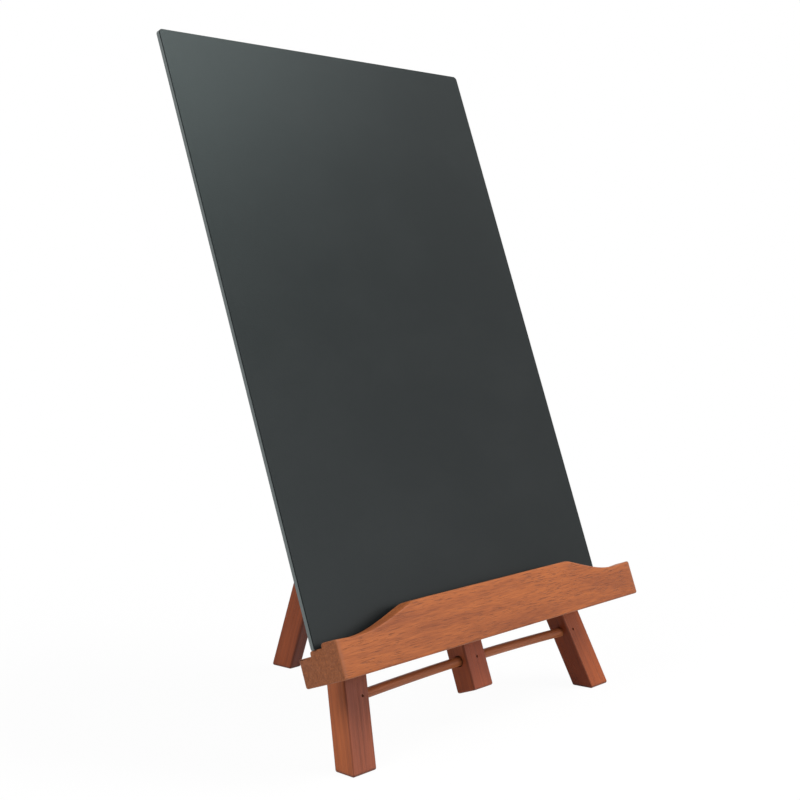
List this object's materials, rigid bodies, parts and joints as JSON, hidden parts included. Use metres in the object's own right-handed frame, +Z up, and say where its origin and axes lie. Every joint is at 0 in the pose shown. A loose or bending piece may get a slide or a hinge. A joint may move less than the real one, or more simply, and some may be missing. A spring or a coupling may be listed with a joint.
{
  "type": "tabletop chalkboard",
  "caption": "Small chalkboard that stands loose on the waved ledge of a folding wooden easel, with splayed front legs and a hinged rear leg.",
  "frame": {"origin": "on the table, under the middle of the easel's bounding box", "axes": "+X to the right as seen from the front, +Y to the back, +Z up"},
  "size_m": [0.3216, 0.238, 0.458],
  "materials": {
    "chalk_face": "matt charcoal chalk paint",
    "board_core": "plain grey sheet, sawn edges",
    "ledge_wood": "red-brown stain, satin",
    "frame_wood": "red-brown stain, satin",
    "rod_wood": "red-brown stain, satin",
    "fastener_steel": "zinc plated"
  },
  "bodies": {
    "easel_frame": {"ledge": "ledge_wood", "left_leg": "frame_wood", "right_leg": "frame_wood", "centre_post": "frame_wood", "head_rail": "frame_wood", "stretcher": "rod_wood", "pivot_bolt": "fastener_steel", "pivot_washers": "fastener_steel", "lock_nut": "fastener_steel", "ledge_screws": "fastener_steel", "rail_screws": "fastener_steel", "stretcher_brads": "fastener_steel"},
    "rear_leg": {"rear_leg": "frame_wood"},
    "board": {"board_core": "board_core", "writing_skin": "chalk_face"}
  },
  "joints": [
    {"name": "rear_leg_fold", "type": "hinge", "parent": "easel_frame", "child": "rear_leg", "pos_m": [0.00155, 0.0076, 0.29115], "axis": [-1, 0, 0], "range_deg": [0, 36.5]},
    {"name": "board_lift", "type": "slide", "parent": "easel_frame", "child": "board", "axis": [0, 0.3371, 0.9415], "range_m": [0, 0.02]}
  ]
}
